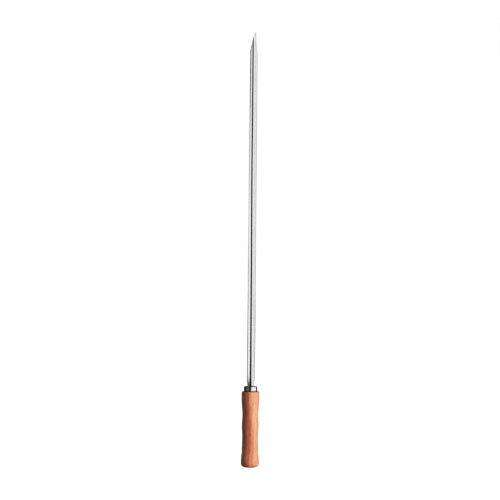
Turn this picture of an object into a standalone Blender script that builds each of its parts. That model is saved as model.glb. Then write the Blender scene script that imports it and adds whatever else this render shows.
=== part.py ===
"""V-profile roasting skewer: a folded stainless blade, a drawn steel ferrule and a turned wooden handle.

Metres, +Z up. The origin is the centre of the handle's flat butt and the blade points up. The fold of the
blade faces -Y. A cross pin under the ferrule and an adhesive bedding in the bore hold the blade's tang.
"""

import math

import bmesh
import bpy
from mathutils import Matrix, Vector

MM = 0.001
GAP = 0.3 * MM  # left between pieces that touch on the real object

TOTAL_LENGTH = 700 * MM
HANDLE_LENGTH = 122.1 * MM
ROUND_STEPS = 48  # sides of every turned piece

# Blade: a sheet strip folded to about a right angle, each leg slightly bowed outwards
SHEET = 1.2 * MM
FOLD_RADIUS = 2.2 * MM  # to the middle of the sheet
FOLD_HALF_ANGLE = math.radians(38)  # where the fold's arc runs into the leg's
FOLD_STEPS = 4  # on each side of the ridge
LEG_RADIUS = 25 * MM  # to the middle of the sheet
LEG_STEPS = 3
FOLD_START = 0.6 * MM  # the fold's place across the strip at the ferrule, towards +X from the middle
FOLD_DRIFT = 2.0 * MM  # how far it moves towards -X from there to the point
BLADE_WIDTH = 12.8 * MM  # across the free edges of the V, above the ferrule
BLADE_TAPER = 1.5 * MM  # how much narrower it is at the point, all off its +X edge
RIDGE_Y = -3.1 * MM  # outermost line of the fold
TANG_WIDTH = 8.8 * MM
TANG_END_WIDTH = 6.4 * MM
TANG_DEPTH = 58 * MM  # below the handle's shoulder
TANG_TAPER = 12 * MM  # end of the tang, narrowed for driving in
TRIM_LENGTH = 16 * MM  # the curved shoulder from full width to tang, ending inside the ferrule
TRIM_STEPS = 8
POINT_EASE_LENGTH = 35 * MM  # the last stretch of the leg that carries the point
POINT_EASE_WIDTH = 2.6 * MM
POINT_SLOPE_X = 3.12  # rise of the oblique point cut for each unit towards +X
POINT_SLOPE_Y = -1.03  # and for each unit towards +Y

# Ferrule: a drawn cup over the handle's spigot
FERRULE_RADIUS = 10.7 * MM
FERRULE_HEIGHT = 8.2 * MM
FERRULE_WALL = 0.8 * MM
FERRULE_CORNER = 1.5 * MM
SLOT_CLEARANCE = 0.35 * MM  # all round the tang, in the ferrule and in the bedding

# Handle: heights above the butt with the radius there, and smooth curves between them
HANDLE_STATIONS = (
    (11.0 * MM, 14.55 * MM),  # pommel, widest
    (16.0 * MM, 14.25 * MM),
    (24.5 * MM, 13.30 * MM),  # foot of the flare
    (49.5 * MM, 12.80 * MM),  # long groove
    (67.0 * MM, 13.60 * MM),  # swell between the fingers
    (83.5 * MM, 12.75 * MM),  # upper groove
    (111.0 * MM, 14.42 * MM),  # head
    (120.6 * MM, 14.30 * MM),
)
CURVE_STEPS = 5  # per stretch between two stations
BUTT_EDGE = 6.5 * MM  # radius of the rounded butt edge
BUTT_STEPS = 7
SHOULDER_EDGE = 1.5 * MM
SHOULDER_STEPS = 3
SPIGOT_RADIUS = FERRULE_RADIUS - FERRULE_WALL - GAP
SPIGOT_HEIGHT = FERRULE_HEIGHT - FERRULE_WALL - GAP
BORE_RADIUS = 5.2 * MM
BORE_DEPTH = 62 * MM  # below the shoulder

# Inside
PIN_RADIUS = 1.25 * MM
PIN_HOLE_RADIUS = PIN_RADIUS + GAP
PIN_HEIGHT = HANDLE_LENGTH + 0.5 * SPIGOT_HEIGHT
BEDDING_TOP = PIN_HEIGHT - PIN_HOLE_RADIUS - 1.0 * MM

# Where the blade's stretches start and how far up its trimmed shoulder the ferrule's top comes
TANG_END = HANDLE_LENGTH - TANG_DEPTH
TRIM_START = HANDLE_LENGTH + FERRULE_HEIGHT - 3 * MM
TRIM_IN_SLOT = (HANDLE_LENGTH + FERRULE_HEIGHT - TRIM_START) / TRIM_LENGTH

COLLECTION = "roasting_skewer"


def clear_scene():
    for obj in list(bpy.data.objects):
        bpy.data.objects.remove(obj, do_unlink=True)


def make_collection(name):
    collection = bpy.data.collections.new(name)
    bpy.context.scene.collection.children.link(collection)
    return collection


def make_material(name, color, roughness, metallic):
    material = bpy.data.materials.new(name)
    material.use_nodes = True
    shader = material.node_tree.nodes["Principled BSDF"]
    shader.inputs["Base Color"].default_value = (*color, 1)
    shader.inputs["Roughness"].default_value = roughness
    shader.inputs["Metallic"].default_value = metallic
    return material


def add_object(name, bm, collection, material=None):
    """A smooth-shaded object made from a bmesh, which is freed."""
    mesh = bpy.data.meshes.new(name)
    bm.to_mesh(mesh)
    bm.free()
    mesh.shade_smooth()
    obj = bpy.data.objects.new(name, mesh)
    collection.objects.link(obj)
    if material:
        mesh.materials.append(material)
    return obj


def hide_cutter(obj):
    obj.hide_render = True
    obj.display_type = "WIRE"
    return obj


def cut(obj, cutter):
    modifier = obj.modifiers.new("cut_" + cutter.name, "BOOLEAN")
    modifier.operation = "DIFFERENCE"
    modifier.solver = "EXACT"
    modifier.object = cutter


def smooth_step(t):
    return t * t * (3 - 2 * t)


def quarter_arc(center, radius, start_deg, end_deg, steps):
    """(r, z) points of an arc in the profile plane."""
    points = []
    for i in range(steps + 1):
        angle = math.radians(start_deg + (end_deg - start_deg) * i / steps)
        points.append((center[0] + radius * math.cos(angle), center[1] + radius * math.sin(angle)))
    return points


def add_turned(name, profile, collection, material):
    """A turned solid. The (r, z) profile runs down its outer side from top to bottom."""
    bm = bmesh.new()
    verts = [bm.verts.new((r, 0, z)) for r, z in profile]
    for a, b in zip(verts, verts[1:]):
        bm.edges.new((a, b))
    obj = add_object(name, bm, collection, material)
    screw = obj.modifiers.new("turn", "SCREW")
    screw.axis = "Z"
    screw.steps = screw.render_steps = ROUND_STEPS
    screw.use_merge_vertices = True
    screw.merge_threshold = 0.00001
    screw.use_smooth_shade = True
    return obj


# ---------------------------------------------------------------- blade

def leg_end_angle(width, sheet):
    """Angle at the free edge of a leg, from straight ahead, for this width across the V's outer corners."""
    reach = 0.5 * width + (LEG_RADIUS - FOLD_RADIUS) * math.sin(FOLD_HALF_ANGLE)
    return math.asin(reach / (LEG_RADIUS + 0.5 * sheet))


def section_angles(side, end_angle):
    """Angles of the points down one side of the V, from the ridge to the free edge."""
    angles = [FOLD_HALF_ANGLE * i / FOLD_STEPS for i in range(FOLD_STEPS + 1)]
    angles += [FOLD_HALF_ANGLE + (end_angle - FOLD_HALF_ANGLE) * i / LEG_STEPS for i in range(1, LEG_STEPS + 1)]
    return [(side, angle) for angle in angles]


def folded_point(side, angle):
    """(x, y) on the middle of the sheet where it has turned by this angle, y from the ridge."""
    fold = min(angle, FOLD_HALF_ANGLE)
    x = FOLD_RADIUS * math.sin(fold) + LEG_RADIUS * (math.sin(angle) - math.sin(fold))
    y = FOLD_RADIUS * (1 - math.cos(fold)) + LEG_RADIUS * (math.cos(fold) - math.cos(angle))
    return side * x, y + RIDGE_Y + 0.5 * SHEET


def blade_rise(z):
    """How far up the blade a height is: 0 at the ferrule and in the tang, 1 at the point."""
    return max(z - TRIM_START, 0) / (TOTAL_LENGTH - TRIM_START)


def fold_x(z):
    return FOLD_START - FOLD_DRIFT * blade_rise(z)


def add_folded_strip(name, stations, sheet, collection, material=None):
    """A V-folded strip. A station is (z, width, lack): the width across the V and what its +X edge lacks of it."""
    bm = bmesh.new()
    rows = []
    for z, width, lack in stations:
        fold = fold_x(z)
        points = section_angles(-1, leg_end_angle(width + 2 * fold, sheet))[:0:-1]
        points += section_angles(1, leg_end_angle(width - 2 * fold - 2 * lack, sheet))
        section = [folded_point(side, angle) for side, angle in points]
        rows.append([bm.verts.new((x + fold, y, z)) for x, y in section])
    for low, high in zip(rows, rows[1:]):
        for i in range(len(low) - 1):
            bm.faces.new((low[i], low[i + 1], high[i + 1], high[i]))
    obj = add_object(name, bm, collection, material)
    solidify = obj.modifiers.new("sheet", "SOLIDIFY")
    solidify.thickness = sheet
    solidify.offset = 0
    solidify.use_even_offset = True
    return obj


def trimmed_width(t):
    """Width along the trimmed shoulder, t from 0 at the tang to 1 at full width."""
    return TANG_WIDTH + (BLADE_WIDTH - TANG_WIDTH) * math.sin(0.5 * math.pi * t)


def blade_stations():
    """Widths of the strip from the end of the tang to just above the point."""
    stations = [(TANG_END, TANG_END_WIDTH, 0), (TANG_END + TANG_TAPER, TANG_WIDTH, 0)]
    for i in range(TRIM_STEPS + 1):
        t = i / TRIM_STEPS
        z = TRIM_START + TRIM_LENGTH * t
        stations.append((z, trimmed_width(t), BLADE_TAPER * blade_rise(z)))
    ease_start = TOTAL_LENGTH - POINT_EASE_LENGTH
    stations.append((ease_start, BLADE_WIDTH, BLADE_TAPER * blade_rise(ease_start)))
    stations.append((TOTAL_LENGTH, BLADE_WIDTH, BLADE_TAPER + POINT_EASE_WIDTH))
    return stations


def add_point_cutter(collection):
    """A block whose lower face is the oblique plane that cuts the V to one point on its +X leg."""
    normal = Vector((-POINT_SLOPE_X, -POINT_SLOPE_Y, 1)).normalized()
    fold = fold_x(TOTAL_LENGTH)
    angle = leg_end_angle(BLADE_WIDTH - 2 * fold - 2 * (BLADE_TAPER + POINT_EASE_WIDTH), SHEET)
    x, y = folded_point(1, angle)
    half = 0.5 * SHEET
    tip = Vector((x + fold + half * math.sin(angle), y - half * math.cos(angle), TOTAL_LENGTH))
    size = 80 * MM
    bm = bmesh.new()
    bmesh.ops.create_cube(bm, size=size)
    turn = normal.to_track_quat("Z", "Y").to_matrix().to_4x4()
    bm.transform(Matrix.Translation(tip + 0.5 * size * normal) @ turn)
    return hide_cutter(add_object("point_cutter", bm, collection))


def add_cross_cutter(collection):
    """The cross hole through the spigot and the tang."""
    bm = bmesh.new()
    bmesh.ops.create_cone(
        bm,
        cap_ends=True,
        segments=24,
        radius1=PIN_HOLE_RADIUS,
        radius2=PIN_HOLE_RADIUS,
        depth=3 * SPIGOT_RADIUS,
        matrix=Matrix.Translation((0, 0, PIN_HEIGHT)) @ Matrix.Rotation(math.radians(90), 4, "Y"),
    )
    return hide_cutter(add_object("cross_cutter", bm, collection))


def add_tang_cutter(collection):
    """The tang with clearance all round, for the ferrule's slot and the bedding."""
    clearance = 2 * SLOT_CLEARANCE
    extra = clearance * math.sqrt(2)
    low = TANG_END - SLOT_CLEARANCE
    slot_width = trimmed_width(TRIM_IN_SLOT) + extra
    stations = [
        (low, TANG_END_WIDTH + extra, 0),
        (low + TANG_TAPER, TANG_WIDTH + extra, 0),
        (BEDDING_TOP + 0.5 * MM, TANG_WIDTH + extra, 0),
        (BEDDING_TOP + 1.5 * MM, slot_width, 0),
        (HANDLE_LENGTH + FERRULE_HEIGHT + 1 * MM, slot_width, 0),
    ]
    return hide_cutter(add_folded_strip("tang_cutter", stations, SHEET + clearance, collection))


def add_blade(parts, steel, point_cutter, cross_cutter):
    blade = add_folded_strip("blade", blade_stations(), SHEET, parts, steel)
    cut(blade, point_cutter)
    cut(blade, cross_cutter)
    return blade


# ---------------------------------------------------------------- ferrule, handle and what is inside

def add_ferrule(parts, steel, tang_cutter):
    """A cup, open end down, with the blade's slot in its top."""
    bottom = HANDLE_LENGTH + GAP
    top = HANDLE_LENGTH + FERRULE_HEIGHT
    inner_radius = FERRULE_RADIUS - FERRULE_WALL
    inner_corner = FERRULE_CORNER - FERRULE_WALL
    corner = (FERRULE_RADIUS - FERRULE_CORNER, top - FERRULE_CORNER)
    profile = [(0, top)]
    profile += quarter_arc(corner, FERRULE_CORNER, 90, 0, 5)
    profile += [(FERRULE_RADIUS, bottom), (inner_radius, bottom)]
    profile += quarter_arc(corner, inner_corner, 0, 90, 3)
    profile += [(0, top - FERRULE_WALL)]
    ferrule = add_turned("ferrule", profile, parts, steel)
    cut(ferrule, tang_cutter)
    return ferrule


def handle_curve():
    """(r, z) down the outside of the grip, from the top station to the lowest."""
    points = []
    for (low_z, low_r), (high_z, high_r) in zip(HANDLE_STATIONS, HANDLE_STATIONS[1:]):
        for i in range(CURVE_STEPS):
            t = i / CURVE_STEPS
            points.append((low_r + (high_r - low_r) * smooth_step(t), low_z + (high_z - low_z) * t))
    points.append((HANDLE_STATIONS[-1][1], HANDLE_STATIONS[-1][0]))
    return points[::-1]


def handle_profile():
    """Bore, spigot, shoulder, grip and butt as one line that ends on the axis at both ends."""
    head_radius = HANDLE_STATIONS[-1][1]
    pommel_radius = HANDLE_STATIONS[0][1]
    spigot_top = HANDLE_LENGTH + SPIGOT_HEIGHT
    bore_end = HANDLE_LENGTH - BORE_DEPTH
    shoulder = (head_radius - SHOULDER_EDGE, HANDLE_LENGTH - SHOULDER_EDGE)
    butt = (pommel_radius - BUTT_EDGE, BUTT_EDGE)
    profile = [(0, bore_end), (BORE_RADIUS, bore_end), (BORE_RADIUS, spigot_top)]
    profile += [(SPIGOT_RADIUS, spigot_top), (SPIGOT_RADIUS, HANDLE_LENGTH)]
    profile += quarter_arc(shoulder, SHOULDER_EDGE, 90, 0, SHOULDER_STEPS)[:-1]
    profile += handle_curve()
    profile += quarter_arc(butt, BUTT_EDGE, 0, -90, BUTT_STEPS)
    profile += [(0, 0)]
    return profile


def add_handle(parts, wood, cross_cutter):
    handle = add_turned("handle", handle_profile(), parts, wood)
    cut(handle, cross_cutter)
    return handle


def add_tang_pin(parts, steel):
    """A plain steel pin, as long as the spigot is wide so that the ferrule keeps it in."""
    bm = bmesh.new()
    bmesh.ops.create_cone(
        bm,
        cap_ends=True,
        segments=24,
        radius1=PIN_RADIUS,
        radius2=PIN_RADIUS,
        depth=2 * SPIGOT_RADIUS - 2 * GAP,
    )
    pin = add_object("tang_pin", bm, parts, steel)
    pin.data.set_sharp_from_angle(angle=math.radians(40))
    pin.location = (0, 0, PIN_HEIGHT)
    pin.rotation_euler = (0, math.radians(90), 0)
    bevel = pin.modifiers.new("ends", "BEVEL")
    bevel.width = 0.3 * MM
    bevel.segments = 1
    return pin


def add_tang_bedding(parts, resin, tang_cutter):
    """The adhesive round the tang, from the end of the bore to below the cross pin."""
    radius = BORE_RADIUS - GAP
    low = HANDLE_LENGTH - BORE_DEPTH + GAP
    profile = [(0, BEDDING_TOP), (radius, BEDDING_TOP), (radius, low), (0, low)]
    bedding = add_turned("tang_bedding", profile, parts, resin)
    cut(bedding, tang_cutter)
    return bedding


def main():
    clear_scene()
    parts = make_collection(COLLECTION)
    cutters = make_collection("cutters")

    blade_steel = make_material("blade_steel", (0.72, 0.72, 0.73), 0.22, 1.0)
    ferrule_steel = make_material("ferrule_steel", (0.66, 0.66, 0.68), 0.12, 1.0)
    wood = make_material("handle_wood", (0.62, 0.29, 0.15), 0.5, 0.0)
    pin_steel = make_material("pin_steel", (0.5, 0.5, 0.52), 0.35, 1.0)
    resin = make_material("bedding_resin", (0.75, 0.68, 0.5), 0.6, 0.0)

    point_cutter = add_point_cutter(cutters)
    cross_cutter = add_cross_cutter(cutters)
    tang_cutter = add_tang_cutter(cutters)

    add_blade(parts, blade_steel, point_cutter, cross_cutter)
    add_ferrule(parts, ferrule_steel, tang_cutter)
    add_handle(parts, wood, cross_cutter)
    add_tang_pin(parts, pin_steel)
    add_tang_bedding(parts, resin, tang_cutter)


main()
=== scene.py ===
"""Looks of the V-profile roasting skewer: its finished surfaces and a plain white studio.

Metres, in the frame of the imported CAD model: +Z up the handle's axis to the point, the blade's fold towards
-Y, the leg with the point towards +X.
"""

import math

import bmesh
import bpy
from mathutils import Matrix, Vector


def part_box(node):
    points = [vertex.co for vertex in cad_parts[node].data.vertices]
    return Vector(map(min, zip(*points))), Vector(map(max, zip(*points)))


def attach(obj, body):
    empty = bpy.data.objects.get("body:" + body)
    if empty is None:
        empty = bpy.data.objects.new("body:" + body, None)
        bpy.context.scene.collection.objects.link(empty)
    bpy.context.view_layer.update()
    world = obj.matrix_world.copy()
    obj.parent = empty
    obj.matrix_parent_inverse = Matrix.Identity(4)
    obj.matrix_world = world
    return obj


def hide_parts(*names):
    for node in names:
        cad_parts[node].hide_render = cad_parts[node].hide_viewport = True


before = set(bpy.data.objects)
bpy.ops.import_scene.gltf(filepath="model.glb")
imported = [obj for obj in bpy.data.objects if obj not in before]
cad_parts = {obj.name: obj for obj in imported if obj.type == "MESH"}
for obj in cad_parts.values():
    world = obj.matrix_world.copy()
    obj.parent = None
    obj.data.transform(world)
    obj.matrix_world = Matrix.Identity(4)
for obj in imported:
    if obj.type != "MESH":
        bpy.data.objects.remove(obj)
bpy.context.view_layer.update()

MM = 0.001
GAP = 0.3 * MM  # left between the CAD solids that touch on the real skewer

# ---------------------------------------------------------------- sizes, from the frame where it has them

blade_low, blade_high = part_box("blade")
ferrule_low, ferrule_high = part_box("ferrule")
_, handle_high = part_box("handle")
pin_low, pin_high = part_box("tang_pin")
bedding_low, bedding_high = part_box("tang_bedding")

TIP_HEIGHT = blade_high.z
FERRULE_TOP = ferrule_high.z
SHOULDER = ferrule_low.z - GAP  # top of the handle's grip, under the ferrule
RIDGE_Y = blade_low.y

# Blade section: an arc at the fold and a long arc down each leg, both to the middle of the sheet
SHEET = 1.2 * MM
FOLD_RADIUS = 2.2 * MM
FOLD_HALF_ANGLE = math.radians(38)
LEG_RADIUS = 25 * MM
FOLD_START = 0.6 * MM  # the fold's place across the strip at the ferrule, towards +X from the middle
FOLD_DRIFT = 2.0 * MM  # how far it moves towards -X from there to the point
FOLD_BOW = (470 * MM, 150 * MM, 0.35 * MM)  # middle, half length and depth of its slight bow towards -X
EDGE_BOW = (225 * MM, 90 * MM, 0.45 * MM)  # the same of the +X free edge's bow towards +X
FOLD_STEPS = 14
LEG_STEPS = 8  # on each side
BLADE_WIDTH = -2 * blade_low.x
BLADE_TAPER = 1.5 * MM  # how much narrower the strip is at the point, all off its +X edge
TANG_WIDTH = 8.8 * MM
TANG_END = blade_low.z
TANG_END_WIDTH = 6.4 * MM
TANG_TAPER = 12 * MM
TANG_SHOWN = 1.5 * MM  # how far below the ferrule's top the close stations of the shoulder start
SLOT_GAP = 0.35 * MM  # all round the blade in the ferrule's slot
BROKEN_EDGE = 0.18 * MM
SHARP_ANGLE = math.radians(40)  # edges that turn more than this are broken or shaded sharp
TRIM_START = FERRULE_TOP - 3 * MM
TRIM_LENGTH = 16 * MM
TRIM_STEPS = 16
STRAIGHT_STEPS = 40
POINT_EASE_LENGTH = 35 * MM
POINT_EASE_STEPS = 4
POINT_EASE_WIDTH = 2.6 * MM
POINT_SLOPE_X = 3.12
POINT_SLOPE_Y = -1.03

JOINT_SHADE_RISE = 2.2 * MM  # how far up the blade the painted shade from the ferrule's slot reaches
# strength and screen colour of that painted shade at the joint, on the blade and on the ferrule's top
JOINT_SHADE_STRENGTH = 0.8
JOINT_SHADE_TONE = (70, 69, 68)

FERRULE_RADIUS = ferrule_high.x
FERRULE_SIDES = 128
FERRULE_WALL = 0.8 * MM
FERRULE_CORNER = 1.5 * MM
FERRULE_LIP = 1.1 * MM  # radius of the curl at its mouth
FERRULE_CURL = 75  # degrees that the curl turns under
FERRULE_NIP = 0.1 * MM  # how far the curl's edge stands in of the cup's inside

GRIP_RADIUS = handle_high.x
HANDLE_SIDES = 144
BUTT_EDGE = 6.5 * MM
SHOULDER_EDGE = 1.5 * MM
SPIGOT_RADIUS = FERRULE_RADIUS - FERRULE_WALL - GAP
SPIGOT_EDGE = 0.4 * MM
BORE_RADIUS = bedding_high.x + GAP
BORE_END = bedding_low.z - GAP
PIN_HEIGHT = 0.5 * (pin_low.z + pin_high.z)
PIN_HOLE_RADIUS = 0.5 * (pin_high.z - pin_low.z) + GAP
HANDLE_STATIONS = (  # height and radius, with smooth curves between them
    (11.0 * MM, GRIP_RADIUS),
    (16.0 * MM, 14.25 * MM),
    (24.5 * MM, 13.30 * MM),
    (49.5 * MM, 12.80 * MM),
    (67.0 * MM, 13.60 * MM),
    (83.5 * MM, 12.75 * MM),
    (111.0 * MM, 14.42 * MM),
    (120.6 * MM, 14.30 * MM),
)

# Figure in the wood: (x, z) of its middle, then (half width, half height)
DARK_FLAMES = (
    ((-1.9 * MM, 114 * MM), (1.3 * MM, 12 * MM)),
    ((0.4 * MM, 69 * MM), (1.5 * MM, 12 * MM)),
    ((-6.0 * MM, 88 * MM), (1.2 * MM, 14 * MM)),
    ((-7.2 * MM, 45 * MM), (1.7 * MM, 15 * MM)),
)
RED_FLAMES = (
    ((-1.6 * MM, 38 * MM), (2.6 * MM, 24 * MM)),
)
PALE_FLAMES = (
    ((1.6 * MM, 6 * MM), (2.6 * MM, 26 * MM)),
    ((1.4 * MM, 108 * MM), (3.8 * MM, 14 * MM)),
)
BROWN_FLAMES = (
    ((5.6 * MM, 36 * MM), (2.6 * MM, 27 * MM)),
    ((-9.0 * MM, 100 * MM), (2.2 * MM, 16 * MM)),
)
FLAMES = (  # strength and screen colour of each kind, in the order they are laid
    (0.75, (236, 160, 124), PALE_FLAMES),
    (0.60, (192, 110, 76), BROWN_FLAMES),
    (0.60, (150, 66, 44), DARK_FLAMES),
    (0.65, (204, 86, 58), RED_FLAMES),
)
FLAME_WAVER = 2.4 * MM  # how far the flames wander sideways
SHADE_BORDER_WAVER = 9 * MM  # and the border between the painted lit side and the painted shade
SHADE_BORDER_LEAN = 0.055  # sideways for each unit up
SHADE_BORDER_MIDDLE = 72 * MM  # height where the leaning border crosses its place
# how far down from the shoulder the end grain and the painted shade under the ferrule reach
END_GRAIN_AND_SHADE_DEPTH = 0.6 * MM
SCRIBED_RINGS = (  # height and depth of the lathe's scribed lines
    (113.6 * MM, 0.30 * MM),
    (18.6 * MM, 0.16 * MM),
)
SCRIBE_HALF_WIDTH = 0.45 * MM


# ---------------------------------------------------------------- shader graph helpers

class Graph:
    """A material's node tree with short calls for the nodes that the surfaces here need."""

    def __init__(self, name):
        self.material = bpy.data.materials.new(name)
        self.material.use_nodes = True
        self.tree = self.material.node_tree
        self.shader = self.tree.nodes["Principled BSDF"]
        coords = self.tree.nodes.new("ShaderNodeTexCoord")
        self.position = coords.outputs["Object"]

    def put(self, socket, value):
        """Links an output to the socket, or sets the socket to a value."""
        if hasattr(value, "is_linked"):
            self.tree.links.new(value, socket)
        else:
            socket.default_value = value

    def set(self, **inputs):
        """Puts values on the shader's sockets, each named in lower case with underscores."""
        for name, value in inputs.items():
            self.put(self.shader.inputs[name.replace("_", " ").title()], value)

    def mapped(self, scale=(1, 1, 1), rotation=(0, 0, 0), location=(0, 0, 0)):
        node = self.tree.nodes.new("ShaderNodeMapping")
        self.put(node.inputs["Vector"], self.position)
        node.inputs["Scale"].default_value = scale
        node.inputs["Rotation"].default_value = rotation
        node.inputs["Location"].default_value = location
        return node.outputs["Vector"]

    def noise(self, vector, scale, detail=2.0, roughness=0.5):
        node = self.tree.nodes.new("ShaderNodeTexNoise")
        self.put(node.inputs["Vector"], vector)
        node.inputs["Scale"].default_value = scale
        node.inputs["Detail"].default_value = detail
        node.inputs["Roughness"].default_value = roughness
        return node.outputs["Fac"]

    def math(self, operation, a, b):
        node = self.tree.nodes.new("ShaderNodeMath")
        node.operation = operation
        self.put(node.inputs[0], a)
        self.put(node.inputs[1], b)
        return node.outputs[0]

    def remap(self, value, low, high, to_low=0.0, to_high=1.0):
        """Smoothly from one range to another, and level outside it."""
        node = self.tree.nodes.new("ShaderNodeMapRange")
        node.interpolation_type = "SMOOTHSTEP"
        self.put(node.inputs["Value"], value)
        node.inputs["From Min"].default_value = low
        node.inputs["From Max"].default_value = high
        node.inputs["To Min"].default_value = to_low
        node.inputs["To Max"].default_value = to_high
        return node.outputs["Result"]

    def mix(self, factor, a, b):
        node = self.tree.nodes.new("ShaderNodeMix")
        node.data_type = "RGBA"
        self.put(node.inputs["Factor"], factor)
        self.put(node.inputs[6], a)
        self.put(node.inputs[7], b)
        return node.outputs[2]

    def axis(self, name):
        node = self.tree.nodes.new("ShaderNodeSeparateXYZ")
        self.put(node.inputs[0], self.position)
        return node.outputs[name]

    def tint(self, color, mask, strength, tone):
        """The colour, moved towards a screen colour by this strength where the mask is 1."""
        return self.mix(self.math("MULTIPLY", mask, strength), color, rgb(*tone))

    def bump(self, height, distance, strength):
        node = self.tree.nodes.new("ShaderNodeBump")
        self.put(node.inputs["Height"], height)
        node.inputs["Distance"].default_value = distance
        node.inputs["Strength"].default_value = strength
        return node.outputs["Normal"]


def rgb(red, green, blue):
    """A scene-linear colour from 0 to 255 screen values."""
    def linear(c):
        c /= 255
        return c / 12.92 if c <= 0.04045 else ((c + 0.055) / 1.055) ** 2.4
    return (linear(red), linear(green), linear(blue), 1.0)


# ---------------------------------------------------------------- materials

def blade_material():
    """Bright rolled stainless: fine lines along it, faint cloudy wear and painted shade above the slot."""
    g = Graph("blade_steel_bright")
    lines = g.noise(g.mapped(scale=(1, 1, 0.004)), 5200, detail=3.0, roughness=0.6)
    clouds = g.noise(g.mapped(scale=(1, 1, 0.12)), 260, detail=3.0)
    scuffs = g.noise(g.mapped(scale=(1, 1, 0.02)), 1500, detail=2.0)
    worn = g.math("ADD", g.math("MULTIPLY", lines, 0.5), g.math("MULTIPLY", clouds, 0.5))
    steel = g.mix(worn, rgb(208, 209, 211), rgb(222, 222, 223))
    # painted shade: the blade darkens towards the ferrule, where the joint shades it
    painted_joint_shade = g.remap(g.axis("Z"), FERRULE_TOP + JOINT_SHADE_RISE, FERRULE_TOP, 0.0, JOINT_SHADE_STRENGTH)
    g.set(
        base_color=g.mix(painted_joint_shade, steel, rgb(*JOINT_SHADE_TONE)),
        metallic=1.0,
        roughness=g.remap(g.math("MULTIPLY", worn, scuffs), 0.12, 0.42, 0.07, 0.14),
        normal=g.bump(lines, 0.002 * MM, 0.6),
    )
    return g.material


def ferrule_material():
    """Polished drawn steel with faint rings from the drawing die and painted shade on top, round the slot."""
    g = Graph("ferrule_steel_polished")
    rings = g.noise(g.mapped(scale=(0.05, 0.05, 1)), 4200, detail=2.0)
    clouds = g.noise(g.mapped(), 420, detail=3.0)
    steel = g.mix(clouds, rgb(214, 214, 216), rgb(232, 232, 233))
    # painted shade: the top darkens round the slot, at the joint with the blade
    from_left = g.remap(g.axis("X"), -6.5 * MM, -5 * MM)
    from_right = g.remap(g.axis("X"), 6.5 * MM, 4 * MM)
    on_top = g.remap(g.axis("Z"), FERRULE_TOP - 0.2 * MM, FERRULE_TOP, 0.0, JOINT_SHADE_STRENGTH)
    painted_joint_shade = g.math("MULTIPLY", g.math("MULTIPLY", from_left, from_right), on_top)
    g.set(
        base_color=g.mix(painted_joint_shade, steel, rgb(*JOINT_SHADE_TONE)),
        metallic=1.0,
        roughness=g.remap(clouds, 0.3, 0.75, 0.10, 0.18),
        normal=g.bump(rings, 0.002 * MM, 0.5),
    )
    return g.material


def wood_flame(g, waver, place, size):
    """A soft upright lens of figure on the front of the handle, from 0 outside it to 1 along its middle."""
    x, z = place
    half_width, half_height = size
    across = g.math("ADD", g.math("SUBTRACT", g.axis("X"), x), g.math("MULTIPLY", waver, FLAME_WAVER))
    across = g.math("DIVIDE", across, half_width)
    along = g.math("DIVIDE", g.math("SUBTRACT", g.axis("Z"), z), half_height)
    spread = g.math("ADD", g.math("POWER", across, 2.0), g.math("POWER", along, 2.0))
    return g.math("MULTIPLY", g.remap(spread, 1.0, 0.15), g.remap(g.axis("Y"), -3 * MM, -8 * MM))


def growth_rings(g):
    """Rings about an axis beside the handle and a little tilted to it, from 0 to 1 across each."""
    tilt = (math.radians(3.2), math.radians(-2.6), 0)
    rings = g.tree.nodes.new("ShaderNodeTexWave")
    rings.wave_type = "RINGS"
    rings.rings_direction = "Z"
    rings.wave_profile = "SAW"
    g.put(rings.inputs["Vector"], g.mapped(location=(0.030, 0.034, 0), rotation=tilt))
    rings.inputs["Scale"].default_value = 62
    rings.inputs["Distortion"].default_value = 3.0
    rings.inputs["Detail"].default_value = 2.0
    rings.inputs["Detail Scale"].default_value = 1.3
    return g.remap(rings.outputs["Fac"], 0.35, 1.0)


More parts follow.
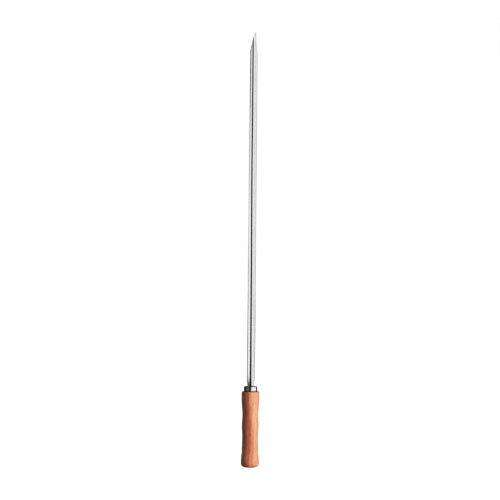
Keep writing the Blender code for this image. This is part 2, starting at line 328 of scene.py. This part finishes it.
def wood_material():
    """Oiled hardwood, turned: painted light, peach on the lit +X side, and red-brown painted shade on -X;
    streaks, flames and pores.
    """
    g = Graph("handle_wood_turned")
    waver = g.math("SUBTRACT", g.noise(g.mapped(scale=(1, 1, 0.35)), 75, detail=3.0), 0.5)
    lean = g.math("MULTIPLY", g.math("SUBTRACT", g.axis("Z"), SHADE_BORDER_MIDDLE), SHADE_BORDER_LEAN)
    side = g.math("ADD", g.math("ADD", g.axis("X"), lean), g.math("MULTIPLY", waver, SHADE_BORDER_WAVER))
    # painted light and shade: peach where the key lights the +X side, red-brown on the shaded -X side
    painted_shade_side = g.remap(side, 6.5 * MM, -2.0 * MM)
    color = g.mix(painted_shade_side, rgb(230, 167, 124), rgb(199, 100, 66))
    color = g.tint(color, growth_rings(g), 0.26, (172, 88, 56))

    streak = g.noise(g.mapped(scale=(1, 1, 0.055)), 360, detail=3.0, roughness=0.6)
    color = g.tint(color, g.remap(streak, 0.50, 0.70), 0.45, (188, 90, 58))
    color = g.tint(color, g.remap(streak, 0.46, 0.30), 0.40, (240, 180, 134))
    blotch = g.noise(g.mapped(scale=(1, 1, 0.30)), 420, detail=2.0, roughness=0.6)
    color = g.tint(color, g.remap(blotch, 0.50, 0.72), 0.40, (178, 88, 60))
    color = g.tint(color, g.remap(blotch, 0.47, 0.30), 0.35, (242, 182, 140))

    for strength, tone, flames in FLAMES:
        for place, size in flames:
            color = g.tint(color, wood_flame(g, waver, place, size), strength, tone)

    flecks = g.remap(g.noise(g.mapped(scale=(1, 1, 0.24)), 1150, detail=1.0), 0.60, 0.72)
    color = g.tint(color, flecks, 0.35, (150, 76, 50))
    fibre = g.noise(g.mapped(scale=(1, 1, 0.035)), 1500, detail=4.0, roughness=0.65)
    pores = g.remap(g.noise(g.mapped(scale=(1, 1, 0.045)), 3400, detail=1.0), 0.64, 0.78)
    color = g.tint(color, g.remap(fibre, 0.45, 0.70), 0.18, (238, 176, 130))
    color = g.tint(color, pores, 0.55, (118, 58, 38))

    # painted shade: the grip darkens towards its +X edge
    painted_edge_shade = g.remap(g.axis("X"), 0.80 * GRIP_RADIUS, 0.97 * GRIP_RADIUS, 0.0, 0.16)
    color = g.mix(painted_edge_shade, color, rgb(96, 60, 40))
    # end grain, and painted shade in the gap under the ferrule: the wood darkens over its top
    end_grain_and_shade = g.remap(g.axis("Z"), SHOULDER - END_GRAIN_AND_SHADE_DEPTH, SHOULDER, 0.0, 0.85)
    color = g.mix(end_grain_and_shade, color, rgb(70, 42, 30))
    relief = g.math("SUBTRACT", g.math("MULTIPLY", fibre, 0.5), g.math("MULTIPLY", pores, 0.8))
    g.set(
        base_color=color,
        roughness=g.remap(fibre, 0.3, 0.7, 0.40, 0.54),
        normal=g.bump(relief, 0.03 * MM, 0.7),
    )
    return g.material


def pin_material():
    """Plain drawn steel with lines along the pin."""
    g = Graph("pin_steel_drawn")
    lines = g.noise(g.mapped(scale=(0.01, 1, 1)), 5000, detail=2.0)
    g.set(
        base_color=rgb(176, 176, 180),
        metallic=1.0,
        roughness=g.remap(lines, 0.3, 0.7, 0.28, 0.42),
        normal=g.bump(lines, 0.002 * MM, 0.6),
    )
    return g.material


def bedding_material():
    """Cured adhesive, a little cloudy."""
    g = Graph("bedding_resin_cured")
    clouds = g.noise(g.mapped(), 500, detail=3.0)
    g.set(
        base_color=g.mix(clouds, rgb(206, 190, 150), rgb(224, 212, 178)),
        roughness=g.remap(clouds, 0.3, 0.7, 0.45, 0.65),
        normal=g.bump(clouds, 0.02 * MM, 0.4),
    )
    return g.material


# ---------------------------------------------------------------- mesh helpers

def add_mesh(name, bm, material):
    """A smooth-shaded object made from a bmesh, which is freed."""
    mesh = bpy.data.meshes.new(name)
    bm.to_mesh(mesh)
    bm.free()
    mesh.shade_smooth()
    mesh.materials.append(material)
    obj = bpy.data.objects.new(name, mesh)
    bpy.context.scene.collection.objects.link(obj)
    return obj


def apply_modifiers(obj):
    """Makes the evaluated mesh the object's own, with its sharp edges marked."""
    evaluated = obj.evaluated_get(bpy.context.evaluated_depsgraph_get())
    obj.data = bpy.data.meshes.new_from_object(evaluated)
    obj.modifiers.clear()
    obj.data.set_sharp_from_angle(angle=SHARP_ANGLE)


def arc(center, radius, start_deg, end_deg, steps):
    """(r, z) points of an arc in a turned profile."""
    points = []
    for i in range(steps + 1):
        angle = math.radians(start_deg + (end_deg - start_deg) * i / steps)
        points.append((center[0] + radius * math.cos(angle), center[1] + radius * math.sin(angle)))
    return points


def turned_bmesh(profile, sides):
    """A closed turned solid from an (r, z) profile that starts and ends on the axis."""
    bm = bmesh.new()
    rings = []
    for r, z in profile:
        if r == 0:
            rings.append([bm.verts.new((0, 0, z))])
            continue
        ring = []
        for i in range(sides):
            angle = 2 * math.pi * i / sides
            ring.append(bm.verts.new((r * math.cos(angle), r * math.sin(angle), z)))
        rings.append(ring)
    for upper, lower in zip(rings, rings[1:]):
        for i in range(sides):
            j = (i + 1) % sides
            if len(upper) == 1:
                bm.faces.new((upper[0], lower[i], lower[j]))
            elif len(lower) == 1:
                bm.faces.new((upper[j], upper[i], lower[0]))
            else:
                bm.faces.new((upper[j], upper[i], lower[i], lower[j]))
    bmesh.ops.recalc_face_normals(bm, faces=bm.faces)
    return bm


def smooth_step(t):
    """From 0 to 1 with level ends."""
    return t * t * (3 - 2 * t)


def cut_pin_hole(obj):
    """Cuts the cross pin's hole along X. Its sides are turned so that no corner lies on a piece's own."""
    sides = 48
    half_a_side = Matrix.Rotation(math.pi / sides, 4, "Z")
    along_x = Matrix.Rotation(math.radians(90), 4, "Y")
    bm = bmesh.new()
    bmesh.ops.create_cone(
        bm,
        cap_ends=True,
        segments=sides,
        radius1=PIN_HOLE_RADIUS,
        radius2=PIN_HOLE_RADIUS,
        depth=3 * SPIGOT_RADIUS,
        matrix=Matrix.Translation((0, 0, PIN_HEIGHT)) @ along_x @ half_a_side,
    )
    cutter = add_mesh("pin_hole_cutter", bm, obj.data.materials[0])
    cut = obj.modifiers.new("pin_hole", "BOOLEAN")
    cut.object = cutter
    cut.solver = "EXACT"
    apply_modifiers(obj)
    bpy.data.objects.remove(cutter)


# ---------------------------------------------------------------- blade

def leg_end_angle(width):
    """Angle that a leg has turned by at its free edge, for this width across the V's outer corners."""
    reach = 0.5 * width + (LEG_RADIUS - FOLD_RADIUS) * math.sin(FOLD_HALF_ANGLE)
    return math.asin(reach / (LEG_RADIUS + 0.5 * SHEET))


def folded_point(angle, offset):
    """(x, y) where the sheet has turned by this signed angle, offset outwards from its middle."""
    turn = abs(angle)
    fold = min(turn, FOLD_HALF_ANGLE)
    x = FOLD_RADIUS * math.sin(fold) + LEG_RADIUS * (math.sin(turn) - math.sin(fold))
    y = FOLD_RADIUS * (1 - math.cos(fold)) + LEG_RADIUS * (math.cos(fold) - math.cos(turn))
    x += offset * math.sin(turn)
    return math.copysign(x, angle), y - offset * math.cos(turn) + RIDGE_Y + 0.5 * SHEET


def trimmed_width(t):
    """Width along the trimmed shoulder, t from 0 at the tang to 1 at full width, and level outside it."""
    return TANG_WIDTH + (BLADE_WIDTH - TANG_WIDTH) * math.sin(0.5 * math.pi * min(max(t, 0), 1))


def strip_width(z):
    """Width across the V at a height: the tapered tang, the trimmed shoulder, then the full strip."""
    if z < TANG_END + TANG_TAPER:
        return TANG_END_WIDTH + (TANG_WIDTH - TANG_END_WIDTH) * (z - TANG_END) / TANG_TAPER
    return trimmed_width((z - TRIM_START) / TRIM_LENGTH)


def blade_rise(z):
    """How far up the blade a height is: 0 at the ferrule and in the tang, 1 at the point."""
    return max(z - TRIM_START, 0) / (TIP_HEIGHT - TRIM_START)


def bowed(z, bow):
    """How far a bow, given by its middle, half length and depth, stands out at a height."""
    middle, half_length, depth = bow
    return depth * smooth_step(max(0, 1 - abs(z - middle) / half_length))


def fold_x(z):
    """The fold's place across the blade at a height."""
    return FOLD_START - FOLD_DRIFT * blade_rise(z) - bowed(z, FOLD_BOW)


def blade_widths(z):
    """Widths of the V at a height, as if symmetric about its fold, for its -X leg and its +X leg."""
    width = strip_width(z)
    ease = max(0, z - (TIP_HEIGHT - POINT_EASE_LENGTH)) / POINT_EASE_LENGTH
    lack = BLADE_TAPER * blade_rise(z) + POINT_EASE_WIDTH * ease - bowed(z, EDGE_BOW)
    return width + 2 * fold_x(z), width - 2 * fold_x(z) - 2 * lack


def blade_heights():
    """Stations up the blade: close in the trimmed shoulder, wide apart in the tang and the straight."""
    low = FERRULE_TOP - TANG_SHOWN
    trim_top = TRIM_START + TRIM_LENGTH
    heights = [TANG_END, TANG_END + TANG_TAPER, TRIM_START]
    heights += [low + (trim_top - low) * i / TRIM_STEPS for i in range(TRIM_STEPS + 1)]
    ease_low = TIP_HEIGHT - POINT_EASE_LENGTH
    straight = ease_low - trim_top
    heights += [trim_top + straight * i / STRAIGHT_STEPS for i in range(1, STRAIGHT_STEPS + 1)]
    heights += [ease_low + POINT_EASE_LENGTH * i / POINT_EASE_STEPS for i in range(1, POINT_EASE_STEPS + 1)]
    return heights


def blade_angles(end_left, end_right):
    """Angles that the sheet has turned by at the points of a section, from the -X free edge to the +X one."""
    left = [-end_left + (end_left - FOLD_HALF_ANGLE) * i / LEG_STEPS for i in range(LEG_STEPS)]
    middle = [FOLD_HALF_ANGLE * (2 * i / FOLD_STEPS - 1) for i in range(FOLD_STEPS + 1)]
    right = [FOLD_HALF_ANGLE + (end_right - FOLD_HALF_ANGLE) * i / LEG_STEPS for i in range(1, LEG_STEPS + 1)]
    return left + middle + right


def point_plane():
    """A point on the oblique plane of the point's cut, and the plane's normal, out of the blade."""
    x, y = folded_point(leg_end_angle(blade_widths(TIP_HEIGHT)[1]), 0.5 * SHEET)
    normal = Vector((-POINT_SLOPE_X, -POINT_SLOPE_Y, 1)).normalized()
    return Vector((x + fold_x(TIP_HEIGHT), y, TIP_HEIGHT)), normal


def folded_bmesh(stations, half):
    """A closed V-folded solid, half thick each way, from stations (z, -X leg's width, +X leg's width)."""
    bm = bmesh.new()
    loops = []
    for z, left, right in stations:
        angles = blade_angles(leg_end_angle(left), leg_end_angle(right))
        section = [folded_point(a, half) for a in angles]
        section += [folded_point(a, -half) for a in reversed(angles)]
        loops.append([bm.verts.new((x + fold_x(z), y, z)) for x, y in section])
    count = len(loops[0])
    for low, high in zip(loops, loops[1:]):
        for i in range(count):
            j = (i + 1) % count
            bm.faces.new((low[i], low[j], high[j], high[i]))
    for loop in (loops[0], loops[-1]):
        for i in range(count // 2 - 1):
            bm.faces.new((loop[i], loop[i + 1], loop[count - 2 - i], loop[count - 1 - i]))
    bmesh.ops.recalc_face_normals(bm, faces=bm.faces)
    return bm


def make_blade(material):
    """The folded strip as a closed skin, cut through by the oblique plane, with its edges broken."""
    bm = folded_bmesh([(z, *blade_widths(z)) for z in blade_heights()], 0.5 * SHEET)
    point, normal = point_plane()
    cut = bmesh.ops.bisect_plane(
        bm, geom=bm.verts[:] + bm.edges[:] + bm.faces[:], plane_co=point, plane_no=normal, clear_outer=True
    )
    rim = [e for e in cut["geom_cut"] if isinstance(e, bmesh.types.BMEdge)]
    bmesh.ops.holes_fill(bm, edges=rim, sides=0)
    blade = add_mesh("blade_detailed", bm, material)
    edges = blade.modifiers.new("broken_edges", "BEVEL")
    edges.limit_method = "ANGLE"
    edges.angle_limit = SHARP_ANGLE
    edges.width = BROKEN_EDGE
    edges.segments = 3
    edges.use_clamp_overlap = True
    cut_pin_hole(blade)
    return blade


# ---------------------------------------------------------------- ferrule

def make_ferrule(material):
    """The drawn cup, rolled in a little at its mouth, with the blade's slot through its top."""
    inner = FERRULE_RADIUS - FERRULE_WALL
    corner = (FERRULE_RADIUS - FERRULE_CORNER, FERRULE_TOP - FERRULE_CORNER)
    bottom = ferrule_low.z
    lip = (FERRULE_RADIUS - FERRULE_LIP, bottom + FERRULE_LIP)
    profile = [(0, FERRULE_TOP), (0.5 * corner[0], FERRULE_TOP)]
    profile += arc(corner, FERRULE_CORNER, 90, 0, 12)
    profile += arc(lip, FERRULE_LIP, 0, -FERRULE_CURL, 8)
    profile += [(inner - FERRULE_NIP, bottom)]
    profile += arc(corner, FERRULE_CORNER - FERRULE_WALL, 0, 90, 6)
    profile += [(0, FERRULE_TOP - FERRULE_WALL)]
    ferrule = add_mesh("ferrule_detailed", turned_bmesh(profile, FERRULE_SIDES), material)
    left, right = blade_widths(FERRULE_TOP)
    ends = (FERRULE_TOP - 2 * FERRULE_WALL, FERRULE_TOP + FERRULE_WALL)
    wider = 2.8 * SLOT_GAP  # the gap at both free edges, which slant at about 45 degrees
    stations = [(z, left + wider, right + wider) for z in ends]
    slot = add_mesh("slot_cutter", folded_bmesh(stations, 0.5 * SHEET + SLOT_GAP), material)
    cut = ferrule.modifiers.new("slot", "BOOLEAN")
    cut.object = slot
    cut.solver = "EXACT"
    apply_modifiers(ferrule)
    bpy.data.objects.remove(slot)
    return ferrule


# ---------------------------------------------------------------- handle

def handle_radius(z):
    """Radius of the grip at a height: smooth between the stations, with the scribed rings cut in."""
    for (low_z, low_r), (high_z, high_r) in zip(HANDLE_STATIONS, HANDLE_STATIONS[1:]):
        if z <= high_z:
            radius = low_r + (high_r - low_r) * smooth_step((z - low_z) / (high_z - low_z))
            break
    for ring_z, depth in SCRIBED_RINGS:
        radius -= depth * max(0, 1 - abs(z - ring_z) / SCRIBE_HALF_WIDTH)
    return radius


def handle_outline():
    """(r, z) down the grip, evenly spaced, with extra points where the rings are scribed."""
    low, high = HANDLE_STATIONS[0][0], HANDLE_STATIONS[-1][0]
    steps = 140
    heights = [low + (high - low) * i / steps for i in range(steps + 1)]
    for ring_z, _ in SCRIBED_RINGS:
        heights = [z for z in heights if abs(z - ring_z) > 1.2 * SCRIBE_HALF_WIDTH]
        heights += [ring_z + SCRIBE_HALF_WIDTH * i / 3 for i in range(-3, 4)]
    return [(handle_radius(z), z) for z in sorted(heights, reverse=True)]


def make_handle(material):
    """The turned wood: bore, spigot, shoulder, grip and butt, with the cross pin's hole cut through."""
    head = HANDLE_STATIONS[-1][1]
    head_edge = (head - SHOULDER_EDGE, SHOULDER - SHOULDER_EDGE)
    profile = [(0, BORE_END), (BORE_RADIUS, BORE_END), (BORE_RADIUS, handle_high.z)]
    profile += arc((SPIGOT_RADIUS - SPIGOT_EDGE, handle_high.z - SPIGOT_EDGE), SPIGOT_EDGE, 90, 0, 3)
    profile += [(SPIGOT_RADIUS, SHOULDER)]
    profile += arc(head_edge, SHOULDER_EDGE, 90, 0, 8)[:-1]
    profile += handle_outline()
    profile += arc((GRIP_RADIUS - BUTT_EDGE, BUTT_EDGE), BUTT_EDGE, 0, -90, 20)
    profile += [(0.6 * (GRIP_RADIUS - BUTT_EDGE), 0), (0, 0)]
    handle = add_mesh("handle_detailed", turned_bmesh(profile, HANDLE_SIDES), material)
    cut_pin_hole(handle)
    return handle


# ---------------------------------------------------------------- studio

ROOM_LIGHT = 0.10
ROOM_REFLECTED = 0.008
FLOOR_HEIGHT = -0.12
FLOOR_HALF_SIDE = 25.0

# Cards that the blade and the grip reflect: height, then the azimuths of the left and right edges there
CARD_LEFT = (
    (0.104, -104.5, -80.5),
    (0.250, -102.9, -79.0),
    (0.378, -103.9, -78.0),
    (0.472, -98.3, -77.0),
    (0.567, -95.9, -76.0),
    (0.660, -91.8, -74.0),
    (0.800, -86.8, -70.0),
)
CARD_RIGHT = (
    (-0.450, 44.0, 80.0),
    (0.066, 44.0, 80.0),
    (0.088, 34.0, 80.0),
    (0.170, 29.0, 80.0),
    (0.380, 23.7, 80.0),
    (0.850, 23.7, 80.0),
)
STRIP_RIGHT = (
    (-0.450, 81.6, 93.5),
    (0.095, 81.6, 93.5),
    (0.170, 81.6, 96.0),
    (0.280, 81.6, 96.5),
    (0.380, 81.6, 98.8),
    (0.500, 81.6, 100.3),
    (0.850, 81.6, 100.3),
)


def add_area(name, azimuths, distance, heights, radiance, receivers=None, glossy=True, diffuse=False):
    """A softbox between two azimuths and two heights with the given radiance, for one piece or for all."""
    middle = 0.5 * (azimuths[0] + azimuths[1])
    height = 0.5 * (heights[0] + heights[1])
    data = bpy.data.lights.new(name, "AREA")
    data.shape = "RECTANGLE"
    data.size = 2 * distance * math.tan(math.radians(0.5 * (azimuths[1] - azimuths[0])))
    data.size_y = heights[1] - heights[0]
    data.energy = radiance * math.pi * data.size * data.size_y
    obj = bpy.data.objects.new(name, data)
    bpy.context.scene.collection.objects.link(obj)
    obj.location = around(middle, distance, height)
    obj.rotation_euler = (Vector((0, 0, height)) - obj.location).to_track_quat("-Z", "Y").to_euler()
    obj.visible_camera = False
    obj.visible_glossy = glossy
    obj.visible_diffuse = diffuse
    obj.light_linking.receiver_collection = receivers


def add_low_light(name, height, across, radiance, receivers):
    """A wide round light under the floor, facing up, that shows in the blade when it is seen from above."""
    data = bpy.data.lights.new(name, "AREA")
    data.shape = "DISK"
    data.size = across
    data.energy = radiance * math.pi * math.pi * (0.5 * across) ** 2
    obj = bpy.data.objects.new(name, data)
    bpy.context.scene.collection.objects.link(obj)
    obj.location.z = height
    obj.rotation_euler.x = math.pi
    obj.visible_camera = False
    obj.visible_diffuse = False
    obj.light_linking.receiver_collection = receivers


def around(azimuth, distance, height):
    """A place round the skewer: azimuth 0 is in front of it (-Y) and 90 to its right (+X)."""
    a = math.radians(azimuth)
    return Vector((distance * math.sin(a), -distance * math.cos(a), height))


def make_card(name, rows, distance, radiance, receivers):
    """An upright glowing card with shaped edges, for reflections only."""
    bm = bmesh.new()
    edges = []
    for z, left, right in rows:
        edges.append([bm.verts.new(around(azimuth, distance, z)) for azimuth in (left, right)])
    for low, high in zip(edges, edges[1:]):
        bm.faces.new((low[0], low[1], high[1], high[0]))
    material = bpy.data.materials.new(name + "_white")
    material.use_nodes = True
    shader = material.node_tree.nodes["Principled BSDF"]
    shader.inputs["Base Color"].default_value = (0, 0, 0, 1)
    shader.inputs["Emission Color"].default_value = (1, 1, 1, 1)
    shader.inputs["Emission Strength"].default_value = radiance
    card = add_mesh(name, bm, material)
    card.visible_camera = False
    card.visible_diffuse = False
    card.visible_shadow = False
    card.light_linking.receiver_collection = receivers


def make_lights(lit):
    """Cards that the blade and the grip reflect, a key for matt surfaces, and lights for one piece."""
    rear = (-0.8, 1.6)
    behind_right = [(z, 180.0, 115.0) for z in rear]
    behind_left = [(z, 236.0, 180.0) for z in rear]
    beside = (-0.3, 0.6)
    whole = (0.0, 0.9)
    make_card("card_left", CARD_LEFT, distance=0.5, radiance=1.20, receivers=lit["blade"])
    make_card("card_right", CARD_RIGHT, distance=0.9, radiance=1.20, receivers=lit["handle blade"])
    make_card("strip_right", STRIP_RIGHT, distance=0.9, radiance=1.14, receivers=lit["handle blade"])
    make_card("rear_right", behind_right, distance=2.0, radiance=0.50, receivers=lit["blade"])
    make_card("rear_left", behind_left, distance=2.0, radiance=0.50, receivers=lit["blade"])
    add_low_light("low_light", height=-0.9, across=16.0, radiance=0.45, receivers=lit["blade"])
    add_area(
        "key_right", azimuths=(37.6, 62.4), distance=1.6, heights=whole, radiance=17.0,
        glossy=False, diffuse=True,
    )
    add_area(
        "ferrule_right", azimuths=(17.2, 111.3), distance=0.7, heights=(-0.45, 0.85), radiance=1.16,
        receivers=lit["ferrule"],
    )
    add_area(
        "ferrule_left", azimuths=(-80.0, -23.0), distance=1.2, heights=beside, radiance=0.125,
        receivers=lit["ferrule"],
    )
    add_area(
        "ferrule_front", azimuths=(-23.0, 17.0), distance=1.2, heights=beside, radiance=0.026,
        receivers=lit["ferrule"],
    )
    add_area(
        "grip_left", azimuths=(-130.0, -60.0), distance=1.2, heights=(-0.5, 0.6), radiance=0.24,
        receivers=lit["handle"], diffuse=True,
    )
    add_area(
        "grip_rear", azimuths=(160.0, 240.0), distance=1.6, heights=whole, radiance=2.0,
        receivers=lit["handle"], glossy=False, diffuse=True,
    )


def make_world():
    """White to the camera, a dark studio in reflections and a dim one to matt surfaces."""
    world = bpy.data.worlds.new("studio")
    bpy.context.scene.world = world
    world.use_nodes = True
    tree = world.node_tree
    tree.nodes.clear()
    rays = tree.nodes.new("ShaderNodeLightPath")
    strength = tree.nodes.new("ShaderNodeMapRange")
    strength.inputs["To Min"].default_value = ROOM_LIGHT
    strength.inputs["To Max"].default_value = ROOM_REFLECTED
    tree.links.new(rays.outputs["Is Glossy Ray"], strength.inputs["Value"])
    room = tree.nodes.new("ShaderNodeBackground")
    tree.links.new(strength.outputs["Result"], room.inputs["Strength"])
    backdrop = tree.nodes.new("ShaderNodeBackground")
    mix = tree.nodes.new("ShaderNodeMixShader")
    out = tree.nodes.new("ShaderNodeOutputWorld")
    tree.links.new(rays.outputs["Is Camera Ray"], mix.inputs[0])
    tree.links.new(room.outputs[0], mix.inputs[1])
    tree.links.new(backdrop.outputs[0], mix.inputs[2])
    tree.links.new(mix.outputs[0], out.inputs[0])
    for shader in (room, backdrop):
        shader.inputs["Color"].default_value = (1, 1, 1, 1)


def make_floor():
    """A pale floor well below the skewer, which a hand would hold."""
    bm = bmesh.new()
    bmesh.ops.create_grid(bm, x_segments=2, y_segments=2, size=FLOOR_HALF_SIDE)
    g = Graph("floor_white")
    speckle = g.noise(g.mapped(), 3.0)
    g.set(base_color=g.mix(speckle, (0.93, 0.93, 0.93, 1), (0.96, 0.96, 0.96, 1)), roughness=0.9)
    g.set(emission_color=(1, 1, 1, 1), emission_strength=1.0)
    floor = add_mesh("floor", bm, g.material)
    floor.location.z = FLOOR_HEIGHT
    floor.visible_glossy = False
    floor.visible_diffuse = False
    floor.visible_shadow = False


def make_camera():
    """A long lens at mid height, a few degrees round from square on, rolled so that the skewer leans."""
    azimuth = 4.0
    distance = 3.0
    roll = math.radians(0.634)
    framed = 0.8046  # width of the picture at the skewer
    middle_height = 0.3496  # where the camera looks
    axis_offset = 3.4 * MM  # the skewer's middle lies this far right of the picture's
    data = bpy.data.cameras.new("camera")
    data.lens = data.sensor_width * distance / framed
    data.clip_start = 0.1
    data.clip_end = 60
    obj = bpy.data.objects.new("camera", data)
    bpy.context.scene.collection.objects.link(obj)
    back = around(azimuth, 1.0, 0)
    right = Vector((-back.y, back.x, 0))
    target = Vector((0, 0, middle_height)) - axis_offset * right
    obj.location = target + distance * back
    turn = (-back).to_track_quat("-Z", "Y").to_matrix() @ Matrix.Rotation(roll, 3, "Z")
    obj.rotation_euler = turn.to_euler()
    bpy.context.scene.camera = obj


# ---------------------------------------------------------------- the skewer

def make_skewer():
    """Makes the pieces, rides them and returns the collections of them that lights are linked to."""
    pieces = {
        "blade": (make_blade(blade_material()), "blade_steel"),
        "ferrule": (make_ferrule(ferrule_material()), "ferrule_steel"),
        "handle": (make_handle(wood_material()), "handle_wood"),
    }
    for node, (piece, slot) in pieces.items():
        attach(piece, "root")
        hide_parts(node)
    for node, material in (("tang_pin", pin_material()), ("tang_bedding", bedding_material())):
        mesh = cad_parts[node].data
        mesh.materials.clear()
        mesh.materials.append(material)
    groups = {}
    for name in ("blade", "ferrule", "handle", "handle blade"):
        groups[name] = bpy.data.collections.new("lit " + name)
        for node in name.split():
            groups[name].objects.link(pieces[node][0])
    return groups


make_world()
make_camera()
make_floor()
make_lights(make_skewer())
bpy.context.scene.view_settings.view_transform = "Standard"
